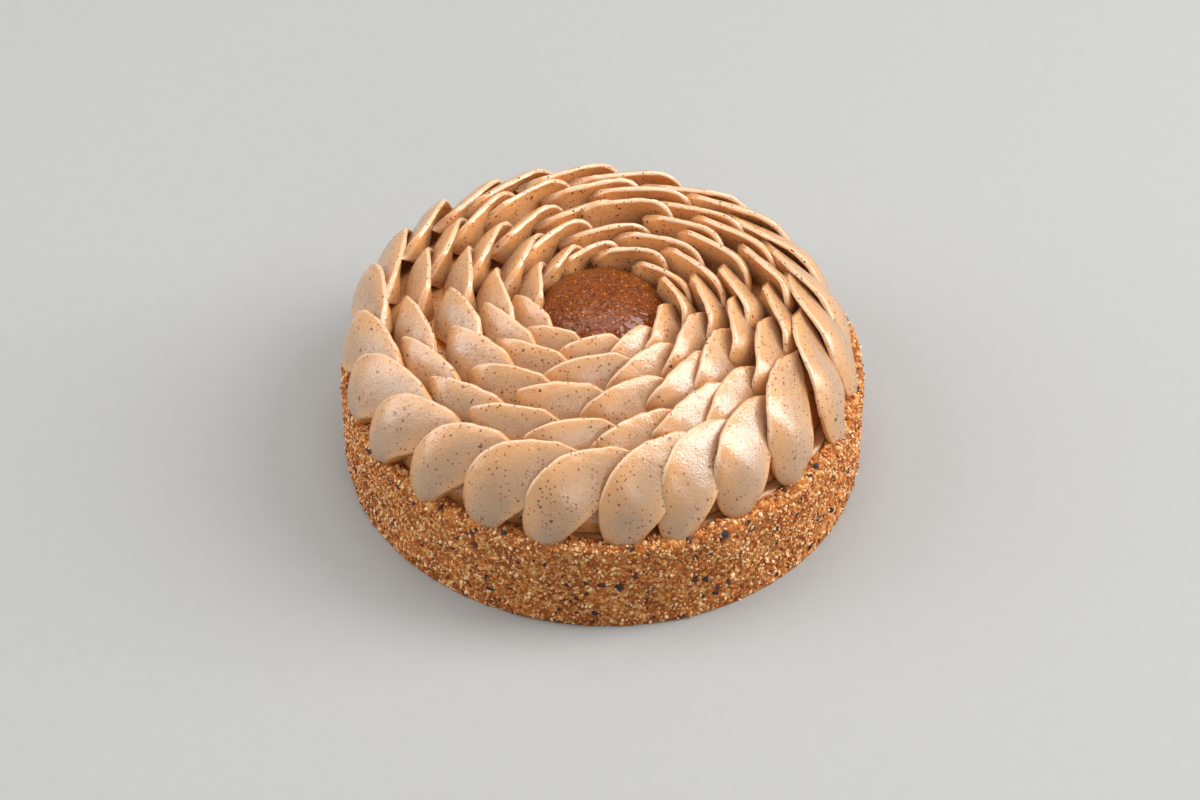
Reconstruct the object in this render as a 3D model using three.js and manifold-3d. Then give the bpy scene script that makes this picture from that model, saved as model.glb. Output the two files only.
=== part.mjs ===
import * as THREE from "three";
import { ParametricGeometry } from "three/addons/geometries/ParametricGeometry.js";
import { mergeVertices } from "three/addons/utils/BufferGeometryUtils.js";
import Module from "manifold-3d";

// A round hazelnut tart: a straight-sided crumb case, a cream filling, a rosette of
// piped petals in five rings, and a pool of praline in the middle.
// Millimetres, +Z up, origin at the middle of the base, front towards -Y.

const wasm = await Module();
wasm.setup();

// Case: a cup of crumb with rounded edges, slightly out of round, with crags on its wall and rim
const CASE_RADIUS = 50;
const CASE_HEIGHT = 20;
const CASE_WALL = 3.2;
const CASE_FLOOR = 3.5;
const CASE_EDGE = 0.9;
const CASE_STEPS = 64;
const CASE_WALL_ROWS = 6;
const CRAG_DEPTH = 0.35;
const RIM_CRAGS = 0.7;
const OUT_OF_ROUND = 0.45;
const WIDEST_AT = 315;

// Filling: poured to just under the rim
const GAP = 0.3;
const FILLING_BELOW_RIM = 0.9;
const FILLING_STEPS = 48;

// Petals: the face of a ring climbs from its foot to its crest, and a petal runs along that face.
// Lengths along a petal, across it and up the face are shares of the whole. foot is the way from
// the crest to the foot of the face, bow is how far the face bows upwards, belly is how far the tip
// swells, settle is the length over which the tip lifts off the face, and reach is the length of a
// petal in petal spacings.
const OUTER = {
  foot: [9.8, -15.8], bow: 9, belly: 1.3, settle: 0.25, reach: 2, crestStart: 0.1, peak: 0.78, rise: 3.5,
  tipCut: 0.12, root: 0.77, steps: 6,
};
const INNER = {
  foot: [6.3, -10.5], bow: 5.5, belly: 0.5, settle: 0.3, reach: 1.85, crestStart: 0.3, peak: 0.7, rise: 2.6,
  tipCut: 0.25, root: 0.45, steps: 4,
};
// first is the angle where the crest of the first petal starts, crest is a radius and a height, and
// aside is how far along X the crests lie off the middle
const RINGS = [
  { petals: 23, first: 281.8, crest: [39, 35.6], aside: -2.3, form: OUTER },
  { petals: 19, first: 282, crest: [32.7, 37.5], aside: -1.5, form: INNER },
  { petals: 16, first: 281, crest: [25.1, 39.1], aside: -0.6, form: INNER },
  { petals: 12, first: 266, crest: [18.5, 38.8], aside: 0, form: INNER },
  { petals: 11, first: 263, crest: [12.3, 38.6], aside: 0, form: INNER },
];
const PETAL_SIDES = 6;
const CREST_THICKNESS = 1.2;
const ROOT_THICKNESS = 5.5;
const ROOT_TAPER = 1.3;
const EDGE_SQUARENESS = 0.3;
const CREST_DROP = 0.22;
const ROOT_LEAD = 0.33;
const ROOT_TRAIL = -0.08;
const ROOT_EASE = 0.85;
const TIP_LENGTH = 0.22;
const CROWN_CUT = 0.3;
const CROWN_LENGTH = 0.12;
const TIP_BULGE = 0.35;
const TIP_BULGE_EASE = 4;
const TIP_ROUNDING = 0.05;
const TAIL_LENGTH = 0.25;
const TAIL_ROUNDING = 0.06;
const TAIL_NARROWING = 0.8;
const TAIL_MIDDLE = 0.2;
const TAIL_EASE = 1.5;
const SHINGLE_TILT = 4.4;
const SHINGLE_EASE = 1.8;
const CREST_LIFT = 0.5;
const BELLY_EASE = 3;
const ROOT_SINK = 1.8;

// How far one petal differs from the next
const UNEVEN_START = 0.16;
const UNEVEN_LENGTH = 0.08;
const UNEVEN_HEIGHT = 0.8;
const UNEVEN_RADIUS = 0.35;
const UNEVEN_CREST = 0.12;
const UNEVEN_LIFT = 0.35;

// Core: the cream that carries the petals, as radius and height from its rim to its well, and how
// far along X it lies off the middle
const CORE_FOOT_RADIUS = 45;
const CORE_SHOULDER = [[44.6, 22], [42.4, 27.6], [38, 29.6], [20, 30.4]];
const CORE_WELL = [[16.6, 32], [14.2, 33.6], [12.9, 31.6]];
const CORE_ASIDE = -1.1;
const CORE_STEPS = 20;

// Praline: a domed pool in the well
const PRALINE_RADIUS = 12.4;
const PRALINE_FLOOR = 31.3;
const PRALINE_TOP = 38;
const PRALINE_FULLNESS = 0.8;
const PRALINE_STEPS = 28;
const PRALINE_ROWS = 5;

// Colour and roughness of each piece
const CRUMB = { color: 0xb0713c, roughness: 0.8 };
const FILLING_CREAM = { color: 0xdcb78b, roughness: 0.5 };
const HAZELNUT_CREAM = { color: 0xd9b48c, roughness: 0.45 };
const PRALINE_PASTE = { color: 0x8a4a1e, roughness: 0.25 };

// Points nearer than this are one point
const MERGE_DISTANCE = 1e-3;
const TURN = 2 * Math.PI;
const { clamp, degToRad, lerp } = THREE.MathUtils;

// A fixed unevenness between -1 and 1 for three whole numbers
function uneven(a, b, c) {
  const wave = Math.sin(a * 12.9898 + b * 78.233 + c * 37.719) * 43758.5453;
  return 2 * (wave - Math.floor(wave)) - 1;
}

// One closed surface: seams and poles are merged, and the triangles that they flatten are left out
function closed(geometry) {
  geometry.deleteAttribute("normal");
  geometry.deleteAttribute("uv");
  const merged = mergeVertices(geometry, MERGE_DISTANCE);
  const corners = merged.index.array;
  const kept = [];
  for (let i = 0; i < corners.length; i += 3) {
    const [a, b, c] = corners.slice(i, i + 3);
    if (a !== b && b !== c && c !== a) kept.push(a, b, c);
  }
  merged.setIndex(kept);
  merged.computeVertexNormals();
  return merged;
}

function solid(geometry) {
  const surface = closed(geometry);
  const vertProperties = new Float32Array(surface.attributes.position.array);
  const triVerts = new Uint32Array(surface.index.array);
  return new wasm.Manifold(new wasm.Mesh({ numProp: 3, vertProperties, triVerts }));
}

function surfaceOf(shape) {
  const mesh = shape.getMesh();
  const geometry = new THREE.BufferGeometry();
  geometry.setAttribute("position", new THREE.BufferAttribute(mesh.vertProperties, 3));
  geometry.setIndex(new THREE.BufferAttribute(mesh.triVerts, 1));
  geometry.computeVertexNormals();
  return geometry;
}

// A profile of [radius, height] pairs, turned about +Z
function turned(profile, steps) {
  const points = profile.map(([radius, height]) => new THREE.Vector2(radius, height));
  return new THREE.LatheGeometry(points, steps).rotateX(Math.PI / 2);
}

// Case profile from the middle of the base, up the wall, over the rim and down to the middle of
// the floor: radius, height, and how much of the crags and of the out-of-round each row takes
function caseRows() {
  const rows = [
    { radius: 0, height: 0, crags: 0, ovality: 0 },
    { radius: CASE_RADIUS - CASE_EDGE, height: 0, crags: 0, ovality: 1 },
  ];
  for (let row = 0; row < CASE_WALL_ROWS; row += 1) {
    const height = lerp(CASE_EDGE, CASE_HEIGHT - CASE_EDGE, row / (CASE_WALL_ROWS - 1));
    rows.push({ radius: CASE_RADIUS, height, crags: 1, ovality: 1 });
  }
  const inside = CASE_RADIUS - CASE_WALL;
  const shoulder = CASE_HEIGHT - CASE_EDGE / 4;
  const lip = CASE_HEIGHT - CASE_EDGE / 2;
  rows.push({ radius: CASE_RADIUS - CASE_EDGE, height: shoulder, crags: RIM_CRAGS, ovality: 1 });
  rows.push({ radius: inside + CASE_EDGE / 2, height: CASE_HEIGHT, crags: 0, ovality: 0 });
  rows.push({ radius: inside, height: lip, crags: 0, ovality: 0 });
  rows.push({ radius: inside, height: CASE_FLOOR, crags: 0, ovality: 0 });
  rows.push({ radius: 0, height: CASE_FLOOR, crags: 0, ovality: 0 });
  return rows;
}

function crumbCase() {
  const rows = caseRows();
  const place = (around, up, target) => {
    const number = Math.round(up * (rows.length - 1));
    const step = Math.round(around * CASE_STEPS) % CASE_STEPS;
    const row = rows[number];
    const angle = (TURN * step) / CASE_STEPS;
    const oval = OUT_OF_ROUND * Math.cos(2 * (angle - degToRad(WIDEST_AT)));
    const crag = CRAG_DEPTH * uneven(step, number, 1);
    const radius = row.radius + row.ovality * oval + row.crags * crag;
    target.set(radius * Math.cos(angle), radius * Math.sin(angle), row.height);
  };
  return closed(new ParametricGeometry(place, CASE_STEPS, rows.length - 1));
}

function filling() {
  const radius = CASE_RADIUS - CASE_WALL - GAP;
  const bottom = CASE_FLOOR + GAP;
  const top = CASE_HEIGHT - FILLING_BELOW_RIM;
  return closed(turned([[0, bottom], [radius, bottom], [radius, top], [0, top]], FILLING_STEPS));
}

// A quarter-round that starts at 0 with an upright edge and reaches 1
function rounded(share) {
  return Math.sqrt(1 - (1 - clamp(share, 0, 1)) ** 2);
}

// How high up the face the crest is: a quick climb to the peak, then a slow fall
function crestClimb(form, along) {
  if (along < form.peak) return 1 - (1 - along / form.peak) ** form.rise;
  return 1 - CREST_DROP * ((along - form.peak) / (1 - form.peak)) ** 2;
}

// A petal is a ribbon with a thick root and a thin crest. Along it the section turns from the
// low outer tip to the high inner tail, and it lies over the end of the petal before it.
function petal(ring, ringNumber, petalNumber) {
  const { form, crest } = ring;
  const vary = (trait) => uneven(ringNumber + 1, petalNumber + 1, trait);
  const spacing = 360 / ring.petals;
  const start = ring.first + spacing * (petalNumber + UNEVEN_START * vary(1));
  const span = spacing * form.reach * (1 + UNEVEN_LENGTH * vary(2));
  const raised = UNEVEN_HEIGHT * vary(3);
  const spread = UNEVEN_RADIUS * vary(4);
  const crestStart = form.crestStart + UNEVEN_CREST * vary(5);
  const lift = CREST_LIFT + UNEVEN_LIFT * vary(6);
  const slope = Math.atan2(-form.foot[1], form.foot[0]);
  const place = (around, step, target) => {
    const turn = TURN * Math.min(around, 1 - around);
    const along = 0.5 - 0.5 * Math.cos(Math.PI * step);
    const low = form.tipCut * (1 - rounded(along / TIP_LENGTH));
    const high = 1 - CROWN_CUT * (1 - rounded(along / CROWN_LENGTH));
    const tail = Math.max(0, (along - 1 + TAIL_LENGTH) / TAIL_LENGTH);
    const width = 1 - TAIL_NARROWING * tail ** TAIL_EASE;
    const across = lerp(TAIL_MIDDLE, lerp(low, high, 0.5 - 0.5 * Math.cos(turn)), width);

    const crestUp = lerp(crestStart, 1, crestClimb(form, along));
    const bulge = TIP_BULGE * across * (1 - across) * (1 - along) ** TIP_BULGE_EASE;
    const up = lerp(form.root * along ** ROOT_EASE, crestUp, across) - bulge;
    const rootAlong = lerp(ROOT_LEAD, 1 - ROOT_TRAIL, along);
    const angle = degToRad(start + span * lerp(rootAlong, along, across));

    const ends = rounded(along / TIP_ROUNDING) * rounded((1 - along) / TAIL_ROUNDING);
    const backing = ROOT_THICKNESS * (1 - across) ** ROOT_TAPER * (1 - tail);
    const thickness = around < 0.5 ? -CREST_THICKNESS / 2 - backing : CREST_THICKNESS / 2;
    const side = Math.abs(Math.sin(turn)) ** EDGE_SQUARENESS * ends;
    const settled = 1 - Math.max(0, 1 - along / form.settle) ** 2;
    const shingle = SHINGLE_TILT * (1 - along) ** SHINGLE_EASE * settled - ROOT_SINK;
    const belly = form.belly * Math.sin(Math.PI * across) * (1 - along) ** BELLY_EASE;
    const out = shingle + lift * across ** 2 + belly + side * thickness;

    const bow = form.bow * up * (1 - up);
    const radius = crest[0] + form.foot[0] * (1 - up) + spread * up + out * Math.sin(slope);
    const height = crest[1] + form.foot[1] * (1 - up) + raised * up + bow + out * Math.cos(slope);
    const aside = ring.aside * Math.sqrt(Math.max(up, 0));
    target.set(radius * Math.cos(angle) + aside, radius * Math.sin(angle), height);
  };
  return new ParametricGeometry(place, PETAL_SIDES, form.steps);
}

// A dome on a flat floor
function dome(radius, floor, top) {
  const profile = [[0, floor]];
  for (let row = 0; row < PRALINE_ROWS; row += 1) {
    const climb = ((Math.PI / 2) * row) / PRALINE_ROWS;
    profile.push([radius * Math.cos(climb) ** PRALINE_FULLNESS, lerp(floor, top, Math.sin(climb))]);
  }
  profile.push([0, top]);
  return turned(profile, PRALINE_STEPS);
}

// What the cream stands on, with the gap that keeps it clear: filling inside, rim outside
function seat() {
  const inside = CASE_RADIUS - CASE_WALL - GAP;
  const beyond = CASE_RADIUS + CASE_WALL;
  const rim = CASE_HEIGHT + GAP;
  const fillingTop = CASE_HEIGHT - FILLING_BELOW_RIM + GAP;
  const step = [[beyond, rim], [inside, rim], [inside, fillingTop]];
  return turned([[0, 0], [beyond, 0], ...step, [0, fillingTop]], CASE_STEPS);
}

function pipedCream() {
  const foot = CASE_HEIGHT - CASE_EDGE;
  const wellFloor = CORE_WELL.at(-1)[1];
  const core = [[0, foot], [CORE_FOOT_RADIUS, foot], ...CORE_SHOULDER, ...CORE_WELL, [0, wellFloor]];
  let shape = solid(turned(core, CORE_STEPS).translate(CORE_ASIDE, 0, 0));
  RINGS.forEach((ring, ringNumber) => {
    for (let number = 0; number < ring.petals; number += 1) {
      shape = shape.add(solid(petal(ring, ringNumber, number)));
    }
  });
  const well = dome(PRALINE_RADIUS + GAP, PRALINE_FLOOR - GAP, PRALINE_TOP + GAP);
  shape = shape.subtract(solid(seat())).subtract(solid(well));
  const bodies = shape.decompose().sort((a, b) => b.volume() - a.volume());
  return surfaceOf(bodies[0]);
}

function praline() {
  return closed(dome(PRALINE_RADIUS, PRALINE_FLOOR, PRALINE_TOP));
}

function named(name, geometry, { color, roughness }) {
  const material = new THREE.MeshStandardMaterial({ color, roughness, metalness: 0 });
  const mesh = new THREE.Mesh(geometry, material);
  mesh.name = name;
  return mesh;
}

const tart = new THREE.Group();
tart.add(named("crumb_case", crumbCase(), CRUMB));
tart.add(named("filling", filling(), FILLING_CREAM));
tart.add(named("piped_cream", pipedCream(), HAZELNUT_CREAM));
tart.add(named("praline", praline(), PRALINE_PASTE));

export default tart;
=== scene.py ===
"""A round hazelnut tart: crumb case, cream filling, rings of piped petals and a pool of praline.

Every piece is a grid of points worked out with numpy, in metres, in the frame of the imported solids:
+Z up, origin at the middle of the base, front towards -Y.
"""

import bpy
import numpy as np
from bpy.props import FloatProperty, FloatVectorProperty, IntProperty, PointerProperty
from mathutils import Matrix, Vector


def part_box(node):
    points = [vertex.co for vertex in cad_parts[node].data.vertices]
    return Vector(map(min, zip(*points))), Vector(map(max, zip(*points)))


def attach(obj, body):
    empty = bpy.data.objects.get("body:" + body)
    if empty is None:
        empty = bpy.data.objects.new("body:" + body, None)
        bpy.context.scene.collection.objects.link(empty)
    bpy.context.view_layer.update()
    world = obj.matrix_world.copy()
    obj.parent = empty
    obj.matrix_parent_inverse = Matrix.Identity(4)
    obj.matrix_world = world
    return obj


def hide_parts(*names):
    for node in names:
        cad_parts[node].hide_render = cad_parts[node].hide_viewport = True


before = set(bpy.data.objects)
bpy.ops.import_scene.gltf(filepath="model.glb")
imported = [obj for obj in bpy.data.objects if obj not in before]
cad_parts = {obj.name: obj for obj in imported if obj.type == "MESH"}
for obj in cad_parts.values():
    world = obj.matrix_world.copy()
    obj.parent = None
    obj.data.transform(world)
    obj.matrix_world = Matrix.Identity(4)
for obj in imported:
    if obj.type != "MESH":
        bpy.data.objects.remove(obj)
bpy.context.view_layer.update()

bl_info = {
    "name": "Hazelnut tart",
    "version": (1, 0, 0),
    "blender": (4, 5, 0),
    "location": "View3D > Sidebar > Tart",
    "description": "Builds a hazelnut tart with piped petals over its solids",
    "category": "Add Mesh",
}

BODY = "root"
MM = 0.001
TURN = 2 * np.pi
TINY = 1e-15

# Unevenness: weights and stretch of the sine that it is taken from, and how far the lattice of the
# noise moves from one seed to the next. Below, a noise is given by its size and its seed.
WAVE_WEIGHTS = (12.9898, 78.233, 37.719)
WAVE_STRETCH = 43758.5453
SEED_STEP = 19.7

# Case: its outline is slightly oval, and crags break up the wall and the rim. A crag has a size and
# a share of the depth.
CASE_FLOOR = 3.5 * MM
OUT_OF_ROUND = 0.45 * MM
WIDEST_AT = np.radians(315)
CASE_COLUMNS = 720
CASE_ROWS = 64
CRAGS = ((7 * MM, 0.9), (2.4 * MM, 0.7), (1 * MM, 0.6))
CRAG_SEED = 3

# Look of the dough. Here and below, a range is where a colour comes in, from none to full.
DOUGH_GRAIN = 0.8 * MM
DOUGH_PATCH = 6 * MM
DOUGH_BUMP = 0.5 * MM
DOUGH_DEPTH = 0.25 * MM
PATCH_RANGE = (0.42, 0.62)
PALE_RANGE = (0.45, 0.95)
TOASTED_RANGE = (0.3, 0)

# Crumbs: rough lumps and flat flakes of nut skin, part sunk in the case. The rows of corners of a
# crumb lie at its levels, from pole to pole. Push, stretch, tilt and rise are shares of its size,
# and the limits hold the random number that its size is made from. spread is how far sizes differ,
# and flatness is the share of its size to which a crumb is flattened. Each kind has its own seed.
GRAIN_COLUMNS = 5
GRAIN_LEVELS = (-1, -(5**-0.5), 5**-0.5, 1)
GRAIN_PUSH = (0.7, 1.25)
GRAIN_STRETCH = (0.65, 1)
GRAIN_TILT = 0.35
GRAIN_RISE = 0.15
GRAIN_LIMITS = (-2, 1.7)
CRUMB_MOTTLE = 0.5 * MM
CRUMB_MOTTLE_SHARE = 0.5
PALE_CRUMB = dict(spread=0.35, flatness=0.8, roughness=0.45)
AMBER_CRUMB = dict(spread=0.35, flatness=0.8, roughness=0.6)
SKIN_FLAKE = dict(spread=0.45, flatness=0.3, roughness=0.5)
FIRST_SEED = 12

# Filling: its level has low waves and climbs at the case. It has as many columns as the core.
CREAM_COLUMNS = 240
FILLING_ROWS = 24
FILLING_WAVE = (4 * MM, 5)
CLIMB_HEIGHT = 0.5 * MM
CLIMB_STEEPNESS = 60
FILLING_PATCH = 5 * MM
BROWNED_RANGE = (0.45, 0.7)
BROWNED_STRENGTH = 0.6
FILLING_BUMP = 1.2 * MM
FILLING_DEPTH = 0.15 * MM

# Petals: the face of a ring climbs from its foot to its crest, and a petal runs along that face.
# Lengths along a petal, across it and up the face are shares of the whole. foot is the way from
# the crest to the foot of the face, bow is how far the face bows upwards, belly is how far the tip
# swells, settle is the length over which the tip lifts off the face, and reach is the length of a
# petal in petal spacings. The crest starts at crest_start, climbs the more steeply the greater rise
# is, and is highest at peak. tip_cut is cut off the lower side of the tip, and root is how far up
# the root ends.
OUTER = dict(
    foot=(9.8 * MM, -15.8 * MM),
    bow=9 * MM,
    belly=1.3 * MM,
    settle=0.25,
    reach=2,
    crest_start=0.1,
    peak=0.78,
    rise=3.5,
    tip_cut=0.12,
    root=0.77,
)
INNER = dict(
    foot=(6.3 * MM, -10.5 * MM),
    bow=5.5 * MM,
    belly=0.5 * MM,
    settle=0.3,
    reach=1.85,
    crest_start=0.3,
    peak=0.7,
    rise=2.6,
    tip_cut=0.25,
    root=0.45,
)
# first is the angle where the crest of the first petal starts, crest is a radius and a height, and
# aside is how far along X the crests lie off the middle
RINGS = (
    dict(petals=23, first=281.8, crest=(39 * MM, 35.6 * MM), aside=-2.3 * MM, form=OUTER),
    dict(petals=19, first=282, crest=(32.7 * MM, 37.5 * MM), aside=-1.5 * MM, form=INNER),
    dict(petals=16, first=281, crest=(25.1 * MM, 39.1 * MM), aside=-0.6 * MM, form=INNER),
    dict(petals=12, first=266, crest=(18.5 * MM, 38.8 * MM), aside=0, form=INNER),
    dict(petals=11, first=263, crest=(12.3 * MM, 38.6 * MM), aside=0, form=INNER),
)
# The root is the thick lower edge of a petal and the crest its thin upper edge. The tip is its low
# outer end, the crown the upper corner of the tip, and the tail its high inner end.
PETAL_STEPS = 52
PETAL_SIDES = 56
ROOT_THICKNESS = 5.5 * MM
ROOT_TAPER = 1.3
EDGE_SQUARENESS = 0.3
CREST_DROP = 0.22
ROOT_LEAD = 0.33
ROOT_TRAIL = -0.08
ROOT_EASE = 0.85
TIP_LENGTH = 0.22
CROWN_CUT = 0.3
CROWN_LENGTH = 0.12
TIP_BULGE = 0.35
TIP_BULGE_EASE = 4
TIP_ROUNDING = 0.05
TAIL_LENGTH = 0.25
TAIL_ROUNDING = 0.06
TAIL_NARROWING = 0.8
TAIL_MIDDLE = 0.2
TAIL_EASE = 1.5
SHINGLE_TILT = 4.4 * MM
SHINGLE_EASE = 1.8
CREST_LIFT = 0.5 * MM
BELLY_EASE = 3
ROOT_SINK = 1.8 * MM

# How far one petal differs from the next in each of its traits, and the number of each trait
UNEVEN = dict(
    start=0.16,
    length=0.08,
    height=0.8 * MM,
    radius=0.35 * MM,
    crest=0.12,
    lift=0.35 * MM,
)
TRAITS = {trait: number for number, trait in enumerate(UNEVEN, 1)}

# Ripples on the petals, and the raggedness of their crests. Where no seed is given, each ring has
# its own.
FINE_RIPPLE = 0.9 * MM
BROAD_RIPPLE = (2.5 * MM, 9)
RAGGED_SIZE = 1.6 * MM
RAGGED_SEED = 20
RAGGED_EASE = 6

# Core under the petals: radius and height from its foot to its well, rows from one point of that
# outline to the next, how far along X it lies off the middle, and the lumps on it
CORE_OUTLINE = (
    (45 * MM, 19.4 * MM),
    (44.6 * MM, 22 * MM),
    (42.4 * MM, 27.6 * MM),
    (38 * MM, 29.6 * MM),
    (20 * MM, 30.4 * MM),
    (16.6 * MM, 32 * MM),
    (14.2 * MM, 33.6 * MM),
    (12.9 * MM, 31.6 * MM),
)
CORE_ROWS = 8
CORE_ASIDE = -1.1 * MM
CORE_LUMP = (3 * MM, 7)
CORE_LUMP_DEPTH = 0.2 * MM

# Look of the cream, with painted light: the ranges of the painted glow towards the crest, the painted
# shade in the hollow at the root and the painted highlight along the crest run across a petal, from
# its root to its crest, and the gloss goes from its least roughness up by its change
CREST_RANGE = (0.5, 0.93)
PAINTED_CREST_GLOW = 0.55
HOLLOW_RANGE = (0.2, 0)
PAINTED_HOLLOW_SHADE = 0.55
PAINTED_INNER_GLOW = 0.45
PAINTED_HIGHLIGHT_RANGE = (0.94, 0.98)
PAINTED_HIGHLIGHT_STRENGTH = 0.7
BLOTCH_SIZE = 7 * MM
BLOTCH_RANGE = (0.35, 0.7)
BLOTCH_WARMTH = 0.25
GLOSS_SIZE = 3 * MM
GLOSS_LEAST = 0.12
GLOSS_CHANGE = 0.26
CREAM_GRAIN = 0.45 * MM
CREAM_DEPTH = 0.1 * MM

# Specks: how far apart they lie, their largest radius, the share of places that have one, and
# their strength. Raggedness and blur are shares of the largest radius.
FINE_SPECKS = (0.75 * MM, 0.25 * MM, 0.95, 0.95)
COARSE_SPECKS = (1.8 * MM, 0.36 * MM, 0.9, 0.9)
DARK_SPECKS = (4.4 * MM, 0.42 * MM, 0.8, 0.95)
CREAM_PITS = (3.3 * MM, 0.3 * MM, 0.5, 2)
NUT_BITS = (0.8 * MM, 0.27 * MM, 0.8, 0.8)
SKIN_BITS = (2.6 * MM, 0.3 * MM, 0.6, 1)
SPECK_RAGGEDNESS = 1.2
SPECK_BLUR = 0.25

# Praline: a domed pool, whose outline sways, with small and large lumps of nut on a low swell
PRALINE_COLUMNS = 200
PRALINE_ROWS = 72
PRALINE_FULLNESS = 0.8
OUTLINE_SWAY = (9 * MM, 2)
OUTLINE_SHARE = 0.03
SMALL_LUMPS = (0.9 * MM, 1)
LARGE_LUMPS = (1.9 * MM, 4)
LARGE_SHARE = 0.8
SWELL = (4 * MM, 6)
SWELL_SHARE = 0.5
LUMP_LEVEL = 0.6
LUMP_EASE = 0.5
PRALINE_MOTTLE = 0.45 * MM
MOTTLE_RANGE = (0.36, 0.6)
PRALINE_BUMP = 0.4 * MM
PRALINE_DEPTH = 0.32 * MM

# Stage: width of the floor and its grain, what the camera and the lights are aimed at, width of the
# camera's sensor in millimetres, and for each light its place and its soft box's width and height
FLOOR_SIZE = 6
FLOOR_GRAIN = 3 * MM
FLOOR_LEAST = 0.97
FLOOR_CHANGE = 0.06
CAMERA_AIM = (-0.4 * MM, 0, 10.4 * MM)
SENSOR_WIDTH = 36
LIGHT_AIM = (0, 0, 20 * MM)
LIGHTS = dict(
    key=((0.72, 0.07, 0.56), (0.4, 0.9)),
    fill=((-0.75, 0, 0.5), (0.5, 0.9)),
    over=((0, 0.15, 1), (0.8, 0.8)),
    front=((0.35, -0.8, 0.45), (0.25, 0.25)),
)


def uneven(a, b, c):
    """A fixed unevenness from -1 to 1 for three whole numbers: the far digits of a sine."""
    weight_a, weight_b, weight_c = WAVE_WEIGHTS
    wave = np.sin(a * weight_a + b * weight_b + c * weight_c) * WAVE_STRETCH
    return 2 * (wave - np.floor(wave)) - 1


def noise(points, size, seed):
    """Smooth lumps of about this size, from -1 to 1: fixed values at the corners of a cubic
    lattice, blended by a smooth step inside each cube."""
    cell = points / size + SEED_STEP * seed
    corner = np.floor(cell)
    share = cell - corner
    share = share * share * (3 - 2 * share)
    total = np.zeros(points.shape[:-1])
    for offset in np.ndindex(2, 2, 2):
        weight = np.where(offset, share, 1 - share).prod(axis=-1)
        a, b, c = np.moveaxis(corner + offset, -1, 0)
        total += weight * uneven(a, b, c)
    return total


def pebbles(points, size, seed):
    """Round lumps of about this size, about 0 between them and up to 1 on top: one less the
    distance to the nearest of the points strewn one to a cube of a lattice."""
    cell = points / size + SEED_STEP * seed
    corner = np.floor(cell)
    nearest = np.full(points.shape[:-1], np.inf)
    for offset in np.ndindex(3, 3, 3):
        home = corner + offset - 1
        a, b, c = np.moveaxis(home, -1, 0)
        strewn = np.stack([uneven(a, b, c), uneven(b, c, a), uneven(c, a, b)], axis=-1)
        away = home + 0.5 + 0.5 * strewn - cell
        nearest = np.minimum(nearest, (away * away).sum(axis=-1))
    return 1 - np.sqrt(nearest)


def lerp(first, last, share):
    """The value at a share of the way from first to last."""
    return first + (last - first) * share


def swing(angle):
    """From 0 to 1 and level at both ends over half a turn: half of one less the cosine."""
    return 0.5 - 0.5 * np.cos(angle)


def rounded(share):
    """A quarter-round that starts at 0 with an upright edge and reaches 1."""
    return np.sqrt(1 - (1 - np.clip(share, 0, 1)) ** 2)


def turned(radius, height, angle):
    """Points at a radius and a height, at an angle about +Z."""
    parts = np.broadcast_arrays(radius * np.cos(angle), radius * np.sin(angle), height)
    return np.stack(parts, axis=-1)


def all_round(columns):
    """Angles of this many columns, spread evenly about +Z."""
    return TURN * np.arange(columns) / columns


def pole(height, angle):
    """A row of points that all lie on +Z at a height, one for each angle."""
    return turned(0 * angle, height, angle)[None]


def normals(points):
    """Outward unit normals of grids whose columns close round: the cross product of the way to
    the next column and the way to the next row."""
    around = np.roll(points, -1, axis=-2) - np.roll(points, 1, axis=-2)
    along = np.gradient(points, axis=-3)
    normal = np.cross(around, along)
    return normal / np.maximum(np.linalg.norm(normal, axis=-1, keepdims=True), TINY)


def grid_mesh(name, points, ends, marks=None):
    """A closed mesh of grids, [patch, row, column, xyz], whose columns close round. The end rows
    are one point each ("pole"), or a line on which both halves of the ring meet ("fold").
    marks are numbers kept for each point. Each patch has its own square of the UV map."""
    patches, rows, columns = points.shape[:3]
    number = np.arange(patches * rows * columns).reshape(patches, rows, columns)
    column = np.arange(columns)
    meets = {"pole": 0 * column, "fold": np.minimum(column, columns - column)}[ends]
    number[:, 0] = number[:, 0, meets]
    number[:, -1] = number[:, -1, meets]
    beside = np.roll(number, -1, axis=2)
    faces = np.stack([number[:, :-1], beside[:, :-1], beside[:, 1:], number[:, 1:]], axis=-1)
    faces = faces.reshape(-1, 4)
    kept = faces != np.roll(faces, -1, axis=1)
    counts = kept.sum(axis=1)
    used, corners = np.unique(faces[kept], return_inverse=True)

    mesh = bpy.data.meshes.new(name)
    mesh.vertices.add(len(used))
    mesh.vertices.foreach_set("co", points.reshape(-1, 3)[used].astype(np.float32).ravel())
    mesh.loops.add(len(corners))
    mesh.polygons.add(len(counts))
    mesh.loops.foreach_set("vertex_index", corners.astype(np.int32).ravel())
    mesh.polygons.foreach_set("loop_start", (np.cumsum(counts) - counts).astype(np.int32))
    for mark, values in (marks or {}).items():
        spread = np.broadcast_to(values, (patches, rows, columns)).ravel()
        layer = mesh.attributes.new(mark, "FLOAT", "POINT")
        layer.data.foreach_set("value", spread[used].astype(np.float32))
    places = patch_places(patches, rows, columns)[kept]
    mesh.uv_layers.new(name="OFBake").uv.foreach_set("vector", places.astype(np.float32).ravel())
    mesh.update(calc_edges=True)
    if mesh.validate():
        raise RuntimeError(f"{name} has faulty faces")
    return mesh


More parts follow.
